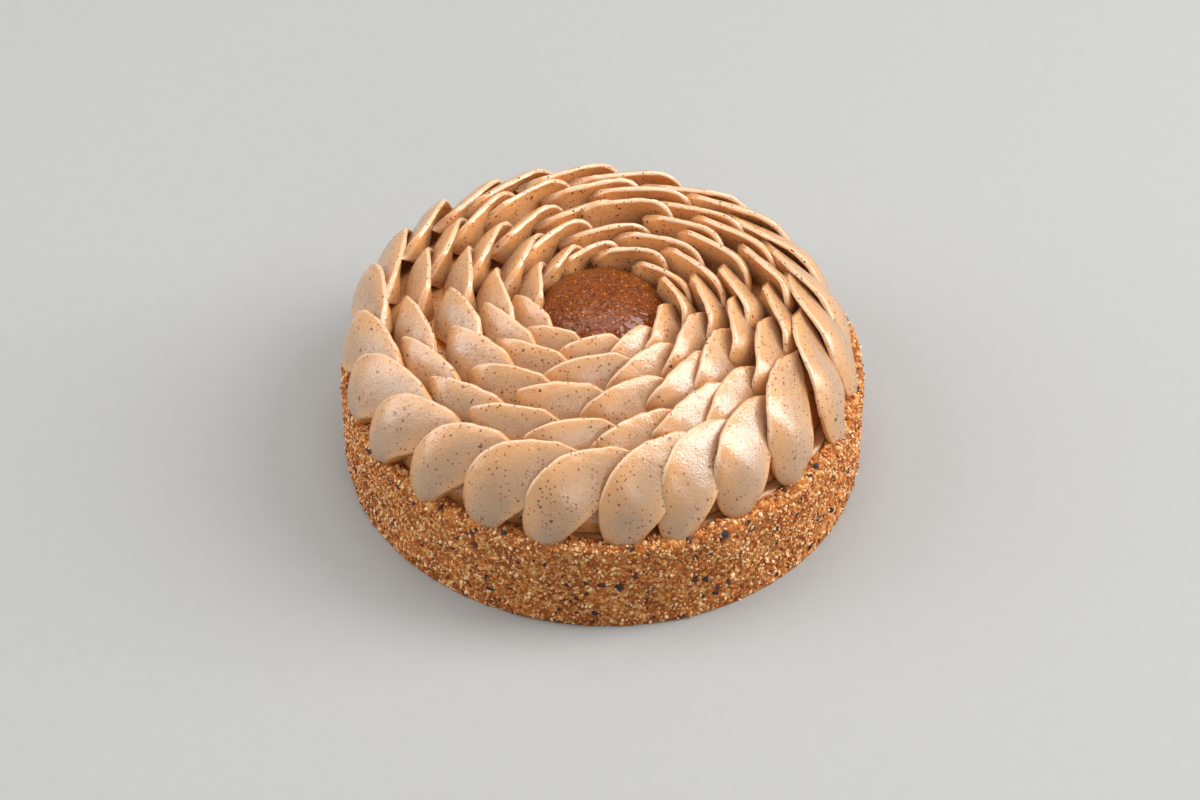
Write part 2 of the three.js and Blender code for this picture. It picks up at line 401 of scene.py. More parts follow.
def patch_places(patches, rows, columns, margin=0.02):
    """UV places of the four corners of each face of a grid_mesh: patches fill a square board column by
    column, and inside a patch columns run along U and rows along V."""
    board = int(np.ceil(np.sqrt(patches)))
    along = (np.arange(columns)[None, :, None] + np.array([0, 1, 1, 0])) / columns
    up = (np.arange(rows - 1)[:, None, None] + np.array([0, 0, 1, 1])) / (rows - 1)
    inside = margin + (1 - 2 * margin) * np.stack(np.broadcast_arrays(along, up), axis=-1)
    cell = np.stack(np.divmod(np.arange(patches), board), axis=-1)
    return ((cell[:, None, None, None] + inside) / board).reshape(-1, 4, 2)


def add_piece(mesh, finish, node=None, smooth=True):
    """Puts a mesh in the scene as a piece that rides with the tart, takes the material of its finish
    and, where one is named, stands for a node."""
    earlier = bpy.data.objects.get(mesh.name)
    if earlier:
        bpy.data.objects.remove(earlier)
    mesh.polygons.foreach_set("use_smooth", np.full(len(mesh.polygons), smooth))
    mesh.materials.append(finish.material)
    piece = bpy.data.objects.new(mesh.name, mesh)
    bpy.context.scene.collection.objects.link(piece)
    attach(piece, BODY)
    if node:
        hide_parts(node)
    return piece


class Value:
    """A socket of a material, on which plain arithmetic adds Math nodes."""

    def __init__(self, finish, socket):
        self.finish = finish
        self.socket = socket

    def other(self, name):
        """Another output of the same node."""
        return Value(self.finish, self.socket.node.outputs[name])

    def __add__(self, other):
        return self.finish.math("ADD", self, other)

    def __radd__(self, other):
        return self.finish.math("ADD", other, self)

    def __sub__(self, other):
        return self.finish.math("SUBTRACT", self, other)

    def __rsub__(self, other):
        return self.finish.math("SUBTRACT", other, self)

    def __mul__(self, other):
        return self.finish.math("MULTIPLY", self, other)

    def __rmul__(self, other):
        return self.finish.math("MULTIPLY", other, self)


class Finish:
    """A material being made: a Principled shader with constants, and the nodes that feed it."""

    def __init__(self, name, constants):
        self.material = bpy.data.materials.new(name)
        self.material.use_nodes = True
        self.tree = self.material.node_tree
        self.shader = self.tree.nodes["Principled BSDF"]
        for socket, value in constants.items():
            self.shader.inputs[socket].default_value = value

    def join(self, value, socket):
        """Links a value to a socket, or sets the socket to a plain number or colour."""
        if isinstance(value, Value):
            self.tree.links.new(value.socket, socket)
        else:
            socket.default_value = value

    def node(self, kind, settings, inputs, output=0):
        """A node of any kind: its settings first, then the values or links of its sockets."""
        made = self.tree.nodes.new(kind)
        for name, value in settings.items():
            setattr(made, name, value)
        for socket, value in inputs.items():
            self.join(value, made.inputs[socket])
        return Value(self, made.outputs[output])

    def math(self, operation, first, second):
        """A Math node on two values or numbers."""
        return self.node("ShaderNodeMath", {"operation": operation}, {0: first, 1: second})

    def place(self):
        """The place of each point, in metres."""
        return self.node("ShaderNodeTexCoord", {}, {}, "Object")

    def mark(self, name):
        """The number kept for each point under this name."""
        return self.node("ShaderNodeAttribute", {"attribute_name": name}, {}, "Fac")

    def mix(self, share, first, last):
        """A colour from first to last."""
        return self.node("ShaderNodeMix", {"data_type": "RGBA"}, {0: share, 6: first, 7: last}, 2)

    def ease(self, value, low, high):
        """0 before low and 1 past high, which may be the lesser, with a smooth step between."""
        inputs = {"Value": value, "From Min": low, "From Max": high}
        return self.node("ShaderNodeMapRange", {"interpolation_type": "SMOOTHSTEP"}, inputs)

    def cloud(self, place, size, detail=2, output="Fac"):
        """Soft noise from 0 to 1 with lumps of this size, as a number or as a colour."""
        inputs = {"Vector": place, "Scale": 1 / size, "Detail": detail}
        return self.node("ShaderNodeTexNoise", {}, inputs, output)

    def cells(self, place, size):
        """Distance to the nearest of points strewn this far apart, in that measure."""
        return self.node("ShaderNodeTexVoronoi", {}, {"Vector": place, "Scale": 1 / size}, "Distance")

    def pick(self, cells, channel):
        """A random number from 0 to 1 for each cell."""
        return self.node("ShaderNodeSeparateColor", {}, {"Color": cells.other("Color")}, channel)

    def jitter(self, place, size, reach):
        """Places shifted by soft noise, by up to reach, so that round specks come out ragged."""
        shift = self.cloud(place, size, output="Color")
        inputs = {0: shift, 1: (reach, reach, reach), 2: place}
        return self.node("ShaderNodeVectorMath", {"operation": "MULTIPLY_ADD"}, inputs)

    def specks(self, place, kind):
        """Ragged specks of one kind: in a share of the cells, a ball of up to the largest radius."""
        spacing, largest, share, strength = kind
        ragged = self.jitter(place, largest, SPECK_RAGGEDNESS * largest)
        cells = self.cells(ragged, spacing)
        radius = self.ease(self.pick(cells, "Red"), 1 - share, 1) * (largest / spacing)
        return self.ease(radius - cells, 0, SPECK_BLUR * largest / spacing) * strength

    def sprinkle(self, colour, place, kind, tone):
        """A colour with specks of one kind, in another tone, sprinkled over it."""
        return self.mix(self.specks(place, kind), colour, opaque(tone))

    def feed(self, colour, roughness=None, height=None, depth=0):
        """Links the colour, the roughness and a bump of this depth to the shader."""
        self.join(colour, self.shader.inputs["Base Color"])
        if roughness is not None:
            self.join(roughness, self.shader.inputs["Roughness"])
        if height is not None:
            bump = self.node("ShaderNodeBump", {}, {"Height": height, "Distance": depth}, "Normal")
            self.join(bump, self.shader.inputs["Normal"])
        return self


def opaque(colour):
    """A colour with full alpha."""
    return (*colour, 1)


def colour_property(name, description, default):
    """A colour that can be changed in the sidebar."""
    return FloatVectorProperty(
        name=name, description=description, default=default, subtype="COLOR", size=3, min=0, max=1
    )


def length_property(name, description, default):
    """A length that can be changed in the sidebar."""
    return FloatProperty(
        name=name, description=description, default=default, unit="LENGTH", min=0, precision=5
    )


def count_property(name, description, default):
    """A number of things that can be changed in the sidebar."""
    return IntProperty(name=name, description=description, default=default, min=1)


def power_property(name, description, default):
    """A light's power that can be changed in the sidebar."""
    return FloatProperty(name=name, description=description, default=default, unit="POWER")


class CaseSettings(bpy.types.PropertyGroup):
    """Sizes and colours of the crumb case."""

    radius: length_property("Radius", "From the middle to the wall", 50 * MM)
    height: length_property("Height", "From the base to the rim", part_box("crumb_case")[1].z)
    wall: length_property("Wall", "Thickness of the wall at the rim", 3.2 * MM)
    edge: length_property("Edge", "Rounding between wall and rim", 1.3 * MM)
    crags: length_property("Crags", "Depth of the crags on wall and rim", 0.34 * MM)
    baked: colour_property("Baked", "Dough between the crumbs", (0.54, 0.162, 0.028))
    toasted: colour_property("Toasted", "Darker patches", (0.33, 0.09, 0.016))
    pale: colour_property("Pale", "Pale grain of the dough", (0.74, 0.40, 0.13))


class CrumbSettings(bpy.types.PropertyGroup):
    """How many crumbs and flakes cover the case, how large and of what colour."""

    pale_count: count_property("Pale crumbs", "Nut and sugar crumbs", 8200)
    amber_count: count_property("Amber crumbs", "Toasted crumbs", 8200)
    flake_count: count_property("Flakes", "Flakes of nut skin", 420)
    size: length_property("Crumb size", "Usual radius of a crumb", 0.29 * MM)
    flake_size: length_property("Flake size", "Usual half-length of a flake", 0.52 * MM)
    pale: colour_property("Pale", "Palest crumbs", (0.95, 0.67, 0.37))
    blond: colour_property("Blond", "Other pale crumbs", (0.76, 0.33, 0.080))
    amber: colour_property("Amber", "Lighter toasted crumbs", (0.68, 0.208, 0.030))
    brown: colour_property("Brown", "Darker toasted crumbs", (0.30, 0.073, 0.012))
    skin: colour_property("Skin", "Dark nut skin", (0.030, 0.017, 0.015))
    red_skin: colour_property("Red skin", "Redder nut skin", (0.11, 0.024, 0.010))


class FillingSettings(bpy.types.PropertyGroup):
    """Sizes and colours of the filling."""

    radius: length_property("Radius", "Out to the case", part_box("filling")[1].x)
    bottom: length_property("Bottom", "Height of its underside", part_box("filling")[0].z)
    top: length_property("Top", "Level of the filling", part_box("filling")[1].z)
    waves: length_property("Waves", "Unevenness of its level", 0.25 * MM)
    colour: colour_property("Colour", "Set cream", (0.56, 0.31, 0.13))
    baked: colour_property("Baked", "Browner patches", (0.42, 0.17, 0.05))


class CreamSettings(bpy.types.PropertyGroup):
    """Sizes and colours of the piped cream."""

    crest: length_property("Crest", "Thickness of a petal at its crest", 1.2 * MM)
    ripple: length_property("Ripple", "Depth of the ripples on a petal", 0.05 * MM)
    ragged: length_property("Ragged", "Unevenness of the crests", 0.16 * MM)
    colour: colour_property("Colour", "Whipped hazelnut cream", (0.475, 0.296, 0.172))
    # Painted highlight: the pale colour painted along the crests, where light catches their edges
    painted_highlight: colour_property("Lip", "Pale line along the crests", (0.80, 0.60, 0.40))
    # Painted light and the cream's own tone: the glow painted near the crests and on the inner sides
    # and the shade painted in the hollows take this colour, and so do the real blotches
    painted_glow_and_blotches: colour_property("Warm", "Near the crests and in the hollows", (0.82, 0.41, 0.145))
    speck: colour_property("Specks", "Ground nut skin", (0.32, 0.055, 0.010))
    brown: colour_property("Brown specks", "Larger bits of skin", (0.16, 0.035, 0.014))
    dark: colour_property("Dark specks", "Darkest bits of skin", (0.045, 0.022, 0.018))


class PralineSettings(bpy.types.PropertyGroup):
    """Sizes and colours of the praline."""

    radius: length_property("Radius", "Of the pool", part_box("praline")[1].x)
    floor: length_property("Floor", "Height of its underside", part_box("praline")[0].z)
    top: length_property("Top", "Height of the dome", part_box("praline")[1].z)
    lumps: length_property("Lumps", "Depth of the nut grains", 0.22 * MM)
    colour: colour_property("Colour", "Caramel and nut paste", (0.27, 0.060, 0.003))
    dark: colour_property("Dark", "Darker caramel", (0.10, 0.018, 0.001))
    pale: colour_property("Pale", "Bits of nut", (0.60, 0.23, 0.045))


class StageSettings(bpy.types.PropertyGroup):
    """Floor, lights and camera."""

    floor: colour_property("Floor", "Pale floor", (0.405, 0.405, 0.393))
    key: power_property("Key", "Soft light from the right", 9)
    fill: power_property("Fill", "Soft light from the left", 4.2)
    over: power_property("Over", "Soft light from above", 4.5)
    front: power_property("Front", "Small light from the front", 0.8)
    sky: FloatProperty(name="Sky", description="Even light from all round", default=0.36, min=0)
    distance: length_property("Distance", "From the middle of the base to the camera", 650 * MM)
    elevation: FloatProperty(
        name="Elevation", description="Of the camera", default=np.radians(44), subtype="ANGLE"
    )
    lens: FloatProperty(name="Lens", description="Focal length", default=99.27, unit="CAMERA")


def case_profile(settings, way):
    """Radius, height and lean of the case at a way up the wall and over the rim: straight up, a
    quarter turn of the edge's radius, then level towards the middle."""
    straight = settings.height - settings.edge
    bend = np.clip((way - straight) / settings.edge, 0, np.pi / 2)
    level = np.maximum(way - straight - settings.edge * np.pi / 2, 0)
    radius = settings.radius - settings.edge + settings.edge * np.cos(bend) - level
    height = np.clip(way, 0, straight) + settings.edge * np.sin(bend)
    return radius, height, bend


def case_way(settings):
    """Length of the way up the wall and over the rim."""
    return settings.height + settings.wall + settings.edge * (np.pi / 2 - 2)


def case_surface(settings, way, angle):
    """Points of the case's outside and their outward normals, with its oval and its crags: noise of
    several sizes, which fades towards the base."""
    radius, height, lean = case_profile(settings, way)
    oval = OUT_OF_ROUND * np.cos(2 * (angle - WIDEST_AT))
    points = turned(radius + oval, height, angle)
    outward = turned(np.cos(lean), np.sin(lean), angle)
    crag = sum(share * noise(points, size, CRAG_SEED) for size, share in CRAGS)
    depth = settings.crags * np.clip(height / settings.edge, 0, 1)
    return points + outward * (depth * crag)[..., None], outward


def case_points(settings):
    """The case as one grid: middle of the base, wall and rim, then down inside to its floor."""
    angle = all_round(CASE_COLUMNS)
    way = np.linspace(0, case_way(settings), CASE_ROWS)[:, None]
    outside, _ = case_surface(settings, way, angle)
    foot = turned(settings.radius - settings.edge, 0, angle)[None]
    inside = turned(settings.radius - settings.wall, CASE_FLOOR, angle)[None]
    rows = [pole(0, angle), foot, outside, inside, pole(CASE_FLOOR, angle)]
    return np.concatenate(rows)[None]


def case_finish(settings):
    """Baked crumb dough: pale and toasted grains in cells, darker patches, and a rough bump."""
    finish = Finish("crumb_dough", {"Roughness": 0.75, "Specular IOR Level": 0.35})
    place = finish.place()
    grains = finish.cells(place, DOUGH_GRAIN)
    patches = finish.ease(finish.cloud(place, DOUGH_PATCH), *PATCH_RANGE)
    dough = finish.mix(patches, opaque(settings.baked), opaque(settings.toasted))
    tone = finish.pick(grains, "Red")
    colour = finish.mix(finish.ease(tone, *PALE_RANGE), dough, opaque(settings.pale))
    colour = finish.mix(finish.ease(tone, *TOASTED_RANGE), colour, opaque(settings.toasted))
    height = finish.cloud(place, DOUGH_BUMP, detail=4) - grains
    return finish.feed(colour, height=height, depth=DOUGH_DEPTH)


def crumb_axes(draw, flatness, size, angle, outward):
    """Three half-axes for each crumb, [crumb, axis, xyz]: two along the wall, spun and tilted at
    random and the second shortened, and one outwards, flattened to a share of the size."""
    count = len(size)
    aside = turned(np.ones(count), 0, angle + np.pi / 2)
    upward = np.cross(outward, aside)
    first_tilt, second_tilt, _ = GRAIN_TILT * draw.standard_normal((3, count, 1))
    spin = TURN * draw.random((count, 1))
    first = np.cos(spin) * aside + np.sin(spin) * upward + first_tilt * outward
    second = np.cos(spin) * upward - np.sin(spin) * aside + second_tilt * outward
    stretch = lerp(*GRAIN_STRETCH, draw.random((count, 1)))
    return np.stack([first, second * stretch, outward * flatness], axis=1) * size[:, None, None]


def crumb_corners(draw, count):
    """Corners of balls of radius 1, [crumb, row, column]: each row is turned by half a column from
    the last, and all but the poles are pushed in and out at random."""
    level = np.array(GRAIN_LEVELS)[:, None]
    row = np.arange(len(level))[:, None]
    turn = TURN * (np.arange(GRAIN_COLUMNS) + row / 2) / GRAIN_COLUMNS
    pushed = lerp(*GRAIN_PUSH, draw.random((count, len(level), GRAIN_COLUMNS, 1)))
    pushed[:, [0, -1]] = 1
    return pushed * turned(np.sqrt(1 - level**2), level, turn)


def crumb_points(case, kind, count, radius, seed):
    """Rough lumps strewn over wall and rim, [crumb, row, column], and a random tone for each. Their
    sizes spread about the usual radius, and each is a ball of corners on three half-axes, part sunk
    in the case and cut off level with the base."""
    draw = np.random.default_rng(seed)
    flatness = kind["flatness"]
    size = radius * np.exp(kind["spread"] * np.clip(draw.standard_normal(count), *GRAIN_LIMITS))
    lowest = size / case_way(case)
    way = case_way(case) * lerp(lowest, 1, draw.random(count))
    angle = TURN * draw.random(count)
    centre, outward = case_surface(case, way, angle)
    axes = crumb_axes(draw, flatness, size, angle, outward)
    lumps = np.einsum("nrck,nkx->nrcx", crumb_corners(draw, count), axes)
    raised = centre + outward * size[:, None] * flatness * GRAIN_RISE
    points = raised[:, None, None] + lumps
    points[..., 2] = np.maximum(points[..., 2], 0)
    return points, draw.random((count, 1, 1))


def crumb_finish(name, kind, light, dark):
    """One kind of crumb: each has its own tone between two colours, with a little mottling."""
    finish = Finish(name, {"Roughness": kind["roughness"], "Specular IOR Level": 0.4})
    mottle = CRUMB_MOTTLE_SHARE * finish.cloud(finish.place(), CRUMB_MOTTLE)
    tone = finish.mark("tone") + mottle - CRUMB_MOTTLE_SHARE / 2
    return finish.feed(finish.mix(finish.ease(tone, 0, 1), opaque(dark), opaque(light)))


def filling_points(settings):
    """The filling as one grid: underside, side, and a level whose waves fade towards the middle and
    which climbs at the case by a steep power of the radius."""
    angle = all_round(CREAM_COLUMNS)
    share = np.linspace(1, 0, FILLING_ROWS)[:, None]
    level = turned(settings.radius * share, settings.top, angle)
    climb = CLIMB_HEIGHT * share**CLIMB_STEEPNESS
    level[..., 2] += settings.waves * share * noise(level, *FILLING_WAVE) + climb
    corner = turned(settings.radius, settings.bottom, angle)[None]
    return np.concatenate([pole(settings.bottom, angle), corner, level])[None]


def filling_finish(settings):
    """Set cream: smooth, a little browner in patches."""
    constants = {"Roughness": 0.32, "Subsurface Weight": 0.2, "Subsurface Scale": 1 * MM}
    finish = Finish("set_cream", constants)
    place = finish.place()
    browned = finish.ease(finish.cloud(place, FILLING_PATCH), *BROWNED_RANGE) * BROWNED_STRENGTH
    colour = finish.mix(browned, opaque(settings.colour), opaque(settings.baked))
    return finish.feed(colour, height=finish.cloud(place, FILLING_BUMP), depth=FILLING_DEPTH)


def crest_climb(form, along):
    """How high up the face the crest is: a quick climb to the peak, then a slow fall."""
    peak = form["peak"]
    climbing = 1 - (1 - np.minimum(along / peak, 1)) ** form["rise"]
    return climbing - CREST_DROP * np.maximum((along - peak) / (1 - peak), 0) ** 2


def tail_share(along):
    """0 as far as the tail of a petal, and from there evenly up to 1 at its end."""
    return np.maximum(0, (along - 1 + TAIL_LENGTH) / TAIL_LENGTH)


def rounded_ends(along):
    """1 along a petal, and rounded down to 0 at its tip and at its tail."""
    return rounded(along / TIP_ROUNDING) * rounded((1 - along) / TAIL_ROUNDING)


def petal_across(form, along, turn):
    """How far across a petal each point is, from 0 at its root to 1 at its crest: a cosine of the
    turn round the section, cut back at the tip and narrowed towards the tail."""
    low = form["tip_cut"] * (1 - rounded(along / TIP_LENGTH))
    high = 1 - CROWN_CUT * (1 - rounded(along / CROWN_LENGTH))
    width = 1 - TAIL_NARROWING * tail_share(along) ** TAIL_EASE
    return lerp(TAIL_MIDDLE, lerp(low, high, swing(turn)), width)


def petal_up(form, along, across, crest_start):
    """How far up the face each point is: between the climb of the root and the climb of the crest,
    less a bulge that hangs down at the tip."""
    root = form["root"] * along**ROOT_EASE
    crest = lerp(crest_start, 1, crest_climb(form, along))
    bulge = TIP_BULGE * across * (1 - across) * (1 - along) ** TIP_BULGE_EASE
    return lerp(root, crest, across) - bulge


def petal_out(form, along, across, lift):
    """How far the middle of a petal stands off the face: sunk at the tail, then over the petal before
    it, settled again at the tip, lifted at the crest and swollen at the belly."""
    settled = 1 - np.maximum(0, 1 - along / form["settle"]) ** 2
    shingle = SHINGLE_TILT * (1 - along) ** SHINGLE_EASE * settled - ROOT_SINK
    belly = form["belly"] * np.sin(np.pi * across) * (1 - along) ** BELLY_EASE
    return shingle + lift * across**2 + belly


def petal_side(crest, along, across, turn, inner):
    """How far each side is from the middle of a petal: half the crest's thickness, and on the inner
    side a backing that tapers from root to crest, with squarish edges and rounded ends."""
    backing = ROOT_THICKNESS * (1 - across) ** ROOT_TAPER * (1 - tail_share(along))
    thickness = np.where(inner, -crest / 2 - backing, crest / 2)
    return np.abs(np.sin(turn)) ** EDGE_SQUARENESS * rounded_ends(along) * thickness


def rippled(settings, number, points, along, across):
    """Petals with fine and broad ripples and ragged crests, laid on along their normals."""
    fine = settings.ripple * noise(points, FINE_RIPPLE, number)
    broad = settings.ripple * noise(points, *BROAD_RIPPLE)
    ragged = settings.ragged * across**RAGGED_EASE * noise(points, RAGGED_SIZE, number + RAGGED_SEED)
    rough = rounded_ends(along) * (fine + broad + ragged)
    return points + normals(points) * rough[..., None]


def petal_points(settings, number):
    """Petals of one ring, [petal, step, side], and two marks for each point: how far across it is,
    from root to crest, and whether it is on the inner side. A petal is a ribbon with a thick root
    and a thin crest. From its low outer tip to its high inner tail it runs round +Z and climbs the
    face of the ring, a straight slope with a bow, and each point stands off that face."""
    ring = RINGS[number]
    form = ring["form"]
    petal = np.arange(ring["petals"])[:, None, None]
    along = swing(np.pi * np.linspace(0, 1, PETAL_STEPS + 1))[None, :, None]
    around = np.arange(PETAL_SIDES)[None, None, :] / PETAL_SIDES
    turn = TURN * np.minimum(around, 1 - around)
    inner = around < 0.5

    def vary(trait):
        return UNEVEN[trait] * uneven(number + 1, petal + 1, TRAITS[trait])

    across = petal_across(form, along, turn)
    up = petal_up(form, along, across, form["crest_start"] + vary("crest"))
    out = petal_out(form, along, across, CREST_LIFT + vary("lift"))
    out = out + petal_side(settings.crest, along, across, turn, inner)

    spacing = 360 / ring["petals"]
    start = ring["first"] + spacing * (petal + vary("start"))
    span = spacing * form["reach"] * (1 + vary("length"))
    root_along = lerp(ROOT_LEAD, 1 - ROOT_TRAIL, along)
    angle = np.radians(start + span * lerp(root_along, along, across))

    away, below = form["foot"]
    slope = np.arctan2(-below, away)
    radius = ring["crest"][0] + away * (1 - up) + vary("radius") * up
    height = ring["crest"][1] + below * (1 - up) + vary("height") * up
    bow = form["bow"] * up * (1 - up)
    points = turned(radius + out * np.sin(slope), height + bow + out * np.cos(slope), angle)
    points[..., 0] += ring["aside"] * np.sqrt(np.maximum(up, 0))
    marks = {"across": across, "inner": np.where(inner, 1, 0)}
    return rippled(settings, number, points, along, across), marks


def cream_finish(settings):
    """Whipped hazelnut cream: beige, with painted light: a warm glow painted towards the crests and on
    the inner sides, warm shade painted at the roots and a pale highlight painted along the crests;
    blotches, red-brown and dark specks of nut skin, fine pits, and a satin gloss that changes from
    place to place."""
    constants = {
        "Subsurface Weight": 0.5,
        "Subsurface Radius": (1.0, 0.55, 0.28),
        "Subsurface Scale": 0.9 * MM,
        "Specular IOR Level": 1.0,
        "Coat Weight": 0.2,
        "Coat Roughness": 0.3,
    }
    finish = Finish("hazelnut_cream", constants)
    place = finish.place()
    across = finish.mark("across")
    # Painted glow: warm orange painted towards the crests, where light shines through the thin cream
    thin = finish.ease(across, *CREST_RANGE) * PAINTED_CREST_GLOW
    # Painted shade: warm orange painted at the roots, in the hollows between the petals
    hollow = finish.ease(across, *HOLLOW_RANGE) * PAINTED_HOLLOW_SHADE
    # Painted glow: warm orange painted on the inner sides of the petals, for light shining through and
    # bouncing there
    inner = finish.mark("inner") * PAINTED_INNER_GLOW
    colour = finish.mix(thin + hollow + inner, opaque(settings.colour), opaque(settings.painted_glow_and_blotches))
    # Painted highlight: a pale line painted along the crests, where light catches their edges
    painted_highlight = finish.ease(across, *PAINTED_HIGHLIGHT_RANGE) * PAINTED_HIGHLIGHT_STRENGTH
    colour = finish.mix(painted_highlight, colour, opaque(settings.painted_highlight))
    blotches = finish.ease(finish.cloud(place, BLOTCH_SIZE), *BLOTCH_RANGE) * BLOTCH_WARMTH
    colour = finish.mix(blotches, colour, opaque(settings.painted_glow_and_blotches))
    colour = finish.sprinkle(colour, place, FINE_SPECKS, settings.speck)
    colour = finish.sprinkle(colour, place, COARSE_SPECKS, settings.brown)
    colour = finish.sprinkle(colour, place, DARK_SPECKS, settings.dark)
    roughness = GLOSS_LEAST + GLOSS_CHANGE * finish.cloud(place, GLOSS_SIZE)
    height = finish.cloud(place, CREAM_GRAIN, detail=3) - finish.specks(place, CREAM_PITS)
    return finish.feed(colour, roughness, height, CREAM_DEPTH)


def core_points():
    """The cream that carries the petals, as one grid: from the middle of its foot along its outline,
    turned about +Z, to the middle of the well, with low lumps."""
    outline = np.array(CORE_OUTLINE)
    stops = np.arange(len(outline))
    way = np.linspace(0, stops[-1], CORE_ROWS * stops[-1] + 1)
    radius = np.interp(way, stops, outline[:, 0])[:, None]
    height = np.interp(way, stops, outline[:, 1])[:, None]
    angle = all_round(CREAM_COLUMNS)
    skin = turned(radius, height, angle)
    skin = skin + CORE_LUMP_DEPTH * noise(skin, *CORE_LUMP)[..., None] * normals(skin)
    rows = [pole(outline[0, 1], angle), skin, pole(outline[-1, 1], angle)]
    return np.concatenate(rows)[None] + (CORE_ASIDE, 0, 0)


def praline_points(settings):
    """The pool as one grid: middle of its underside, then a dome, fuller than half a ball, with an
    uneven outline and rounded lumps of nut."""
    angle = all_round(PRALINE_COLUMNS)
    climb = (np.pi / 2) * np.linspace(0, 1, PRALINE_ROWS)[:, None]
    radius = settings.radius * np.cos(climb) ** PRALINE_FULLNESS
    height = lerp(settings.floor, settings.top, np.sin(climb))
    dome = turned(radius, height, angle)
    outline = 1 + OUTLINE_SHARE * noise(dome, *OUTLINE_SWAY) * np.cos(climb)
    dome[..., :2] *= outline[..., None]
    lumps = pebbles(dome, *SMALL_LUMPS) + LARGE_SHARE * pebbles(dome, *LARGE_LUMPS)
    lumps = lumps + SWELL_SHARE * noise(dome, *SWELL)
    depth = settings.lumps * (lumps - LUMP_LEVEL) * np.sin(climb) ** LUMP_EASE
    dome = dome + normals(dome) * depth[..., None]
    dome[-1] = dome[-1].mean(axis=0)
    return np.concatenate([pole(settings.floor, angle), dome])[None]


def praline_finish(settings):
    """Wet nut paste: caramel brown, mottled, with pale and dark bits under a clear gloss."""
    constants = {
        "Roughness": 0.4,
        "Specular IOR Level": 0.1,
        "Coat Weight": 0.6,
        "Coat Roughness": 0.03,
        "Subsurface Weight": 0.15,
        "Subsurface Radius": (1.0, 0.4, 0.15),
        "Subsurface Scale": 1.2 * MM,
    }
    finish = Finish("praline_paste", constants)
    place = finish.place()
    mottled = finish.ease(finish.cloud(place, PRALINE_MOTTLE, detail=4), *MOTTLE_RANGE)
    colour = finish.mix(mottled, opaque(settings.dark), opaque(settings.colour))
    colour = finish.sprinkle(colour, place, NUT_BITS, settings.pale)
    colour = finish.sprinkle(colour, place, SKIN_BITS, settings.dark)
    height = finish.cloud(place, PRALINE_BUMP, detail=4)
    return finish.feed(colour, height=height, depth=PRALINE_DEPTH)


def floor_finish(settings):
    """Pale matt floor, with the faintest grain."""
    finish = Finish("floor", {"Roughness": 0.8, "Specular IOR Level": 0.2})
    shade = finish.cloud(finish.place(), FLOOR_GRAIN, detail=4) * FLOOR_CHANGE + FLOOR_LEAST
    pale = finish.node("ShaderNodeCombineColor", {}, {"Red": shade, "Green": shade, "Blue": shade})
    tint = {"data_type": "RGBA", "blend_type": "MULTIPLY"}
    colour = finish.node("ShaderNodeMix", tint, {0: 1, 6: pale, 7: opaque(settings.floor)}, 2)
    return finish.feed(colour)


class TART_OT_crumb_case(bpy.types.Operator):
    """Builds the case of baked crumb dough"""

    bl_idname = "tart.crumb_case"
    bl_label = "Crumb case"

    def execute(self, context):
        settings = context.scene.tart_case
        mesh = grid_mesh("case_dough", case_points(settings), "pole")
        add_piece(mesh, case_finish(settings), "crumb_case")
        return {"FINISHED"}


class TART_OT_crumbs(bpy.types.Operator):
    """Strews pale crumbs, amber crumbs and flakes of nut skin over the case"""

    bl_idname = "tart.crumbs"
    bl_label = "Crumbs"

    def execute(self, context):
        bits = context.scene.tart_crumbs
        kinds = (
            ("pale_crumbs", PALE_CRUMB, bits.pale_count, bits.size, bits.pale, bits.blond),
            ("amber_crumbs", AMBER_CRUMB, bits.amber_count, bits.size, bits.amber, bits.brown),
            ("skin_flakes", SKIN_FLAKE, bits.flake_count, bits.flake_size, bits.red_skin, bits.skin),
        )
        for seed, (name, kind, count, size, light, dark) in enumerate(kinds, FIRST_SEED):
            points, tone = crumb_points(context.scene.tart_case, kind, count, size, seed)
            mesh = grid_mesh(name, points, "pole", {"tone": tone})
            add_piece(mesh, crumb_finish(name, kind, light, dark), smooth=False)
        return {"FINISHED"}


class TART_OT_filling(bpy.types.Operator):
    """Pours the filling"""

    bl_idname = "tart.filling"
    bl_label = "Filling"

    def execute(self, context):
        settings = context.scene.tart_filling
        mesh = grid_mesh("set_filling", filling_points(settings), "pole")
        add_piece(mesh, filling_finish(settings), "filling")
        return {"FINISHED"}


class TART_OT_piped_cream(bpy.types.Operator):
    """Pipes the rings of petals on their core"""

    bl_idname = "tart.piped_cream"
    bl_label = "Piped cream"

    def execute(self, context):
        settings = context.scene.tart_cream
        finish = cream_finish(settings)
        # The core is marked as root and inner side all over, so it takes the painted shade of the
        # hollows and the painted glow of the inner sides everywhere
        core = grid_mesh("cream_core", core_points(), "pole", {"across": 0, "inner": 1})
        add_piece(core, finish, "piped_cream")
        for number in range(len(RINGS)):
            points, marks = petal_points(settings, number)
            ring = grid_mesh(f"petal_ring_{number + 1}", points, "fold", marks)
            add_piece(ring, finish, "piped_cream")
        return {"FINISHED"}


class TART_OT_praline(bpy.types.Operator):
    """Fills the well with praline"""

    bl_idname = "tart.praline"
    bl_label = "Praline"

    def execute(self, context):
        settings = context.scene.tart_praline
        mesh = grid_mesh("praline_pool", praline_points(settings), "pole")
        add_piece(mesh, praline_finish(settings), "praline")
        return {"FINISHED"}


def aimed(data, name, place, aim):
    """Puts a lamp or a camera at a place, turned towards a point."""
    made = bpy.data.objects.new(name, data)
    made.location = place
    made.rotation_euler = (Vector(aim) - Vector(place)).to_track_quat("-Z", "Y").to_euler()
    bpy.context.scene.collection.objects.link(made)
    return made


def soft_light(name, place, size, power):
    """A soft box of a width and a height, aimed at the tart."""
    lamp = bpy.data.lights.new(name, "AREA")
    lamp.shape = "RECTANGLE"
    lamp.size, lamp.size_y = size
    lamp.energy = power
    return aimed(lamp, name, place, LIGHT_AIM)


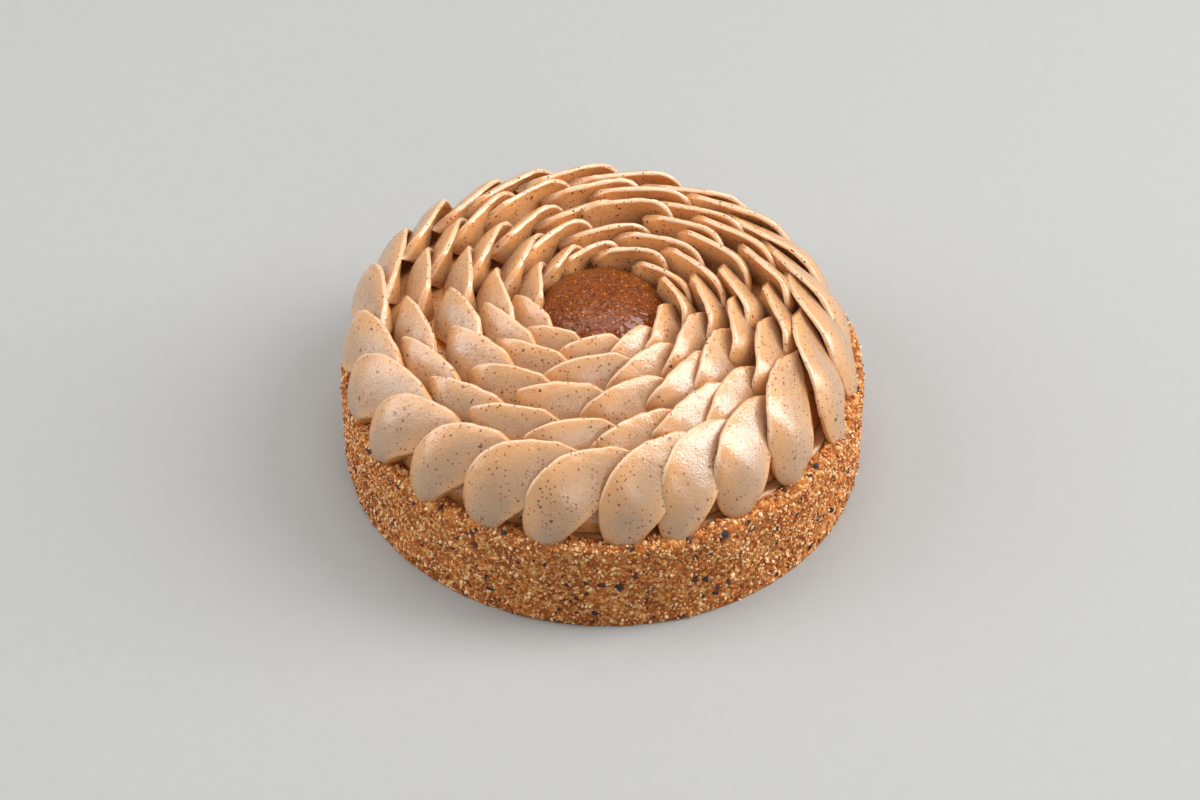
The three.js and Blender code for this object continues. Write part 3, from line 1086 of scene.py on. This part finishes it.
class TART_OT_stage(bpy.types.Operator):
    """Sets the floor, the lights and the camera"""

    bl_idname = "tart.stage"
    bl_label = "Stage"

    def execute(self, context):
        settings = context.scene.tart_stage
        scene = context.scene
        bpy.ops.mesh.primitive_plane_add(size=FLOOR_SIZE)
        floor = context.object
        floor.name = "floor"
        floor.data.materials.append(floor_finish(settings).material)

        for name, (place, size) in LIGHTS.items():
            soft_light(name, place, size, getattr(settings, name))
        world = bpy.data.worlds.new("sky")
        world.use_nodes = True
        background = world.node_tree.nodes["Background"].inputs
        background["Color"].default_value = opaque((1, 1, 1))
        background["Strength"].default_value = settings.sky
        scene.world = world
        scene.view_settings.view_transform = "Standard"

        camera = bpy.data.cameras.new("camera")
        camera.lens = settings.lens
        camera.sensor_width = SENSOR_WIDTH
        back = -settings.distance * np.cos(settings.elevation)
        above = settings.distance * np.sin(settings.elevation)
        scene.camera = aimed(camera, "camera", (0, back, above), CAMERA_AIM)
        return {"FINISHED"}


class TART_PT_sidebar(bpy.types.Panel):
    """Lists the tart's pieces and their settings"""

    bl_idname = "TART_PT_sidebar"
    bl_label = "Hazelnut tart"
    bl_space_type = "VIEW_3D"
    bl_region_type = "UI"
    bl_category = "Tart"

    def draw(self, context):
        for operator, group in SECTIONS:
            box = self.layout.box()
            box.operator(operator.bl_idname)
            settings = getattr(context.scene, group)
            for name in settings.__annotations__:
                box.prop(settings, name)


GROUPS = {
    "tart_case": CaseSettings,
    "tart_crumbs": CrumbSettings,
    "tart_filling": FillingSettings,
    "tart_cream": CreamSettings,
    "tart_praline": PralineSettings,
    "tart_stage": StageSettings,
}
SECTIONS = (
    (TART_OT_crumb_case, "tart_case"),
    (TART_OT_crumbs, "tart_crumbs"),
    (TART_OT_filling, "tart_filling"),
    (TART_OT_piped_cream, "tart_cream"),
    (TART_OT_praline, "tart_praline"),
    (TART_OT_stage, "tart_stage"),
)
CLASSES = (*GROUPS.values(), *(operator for operator, _ in SECTIONS), TART_PT_sidebar)


def register():
    for each in CLASSES:
        bpy.utils.register_class(each)
    for name, group in GROUPS.items():
        setattr(bpy.types.Scene, name, PointerProperty(type=group))


def unregister():
    for name in GROUPS:
        delattr(bpy.types.Scene, name)
    for each in reversed(CLASSES):
        bpy.utils.unregister_class(each)


def main():
    register()
    bpy.ops.tart.crumb_case()
    bpy.ops.tart.crumbs()
    bpy.ops.tart.filling()
    bpy.ops.tart.piped_cream()
    bpy.ops.tart.praline()
    bpy.ops.tart.stage()


if __name__ == "__main__":
    main()
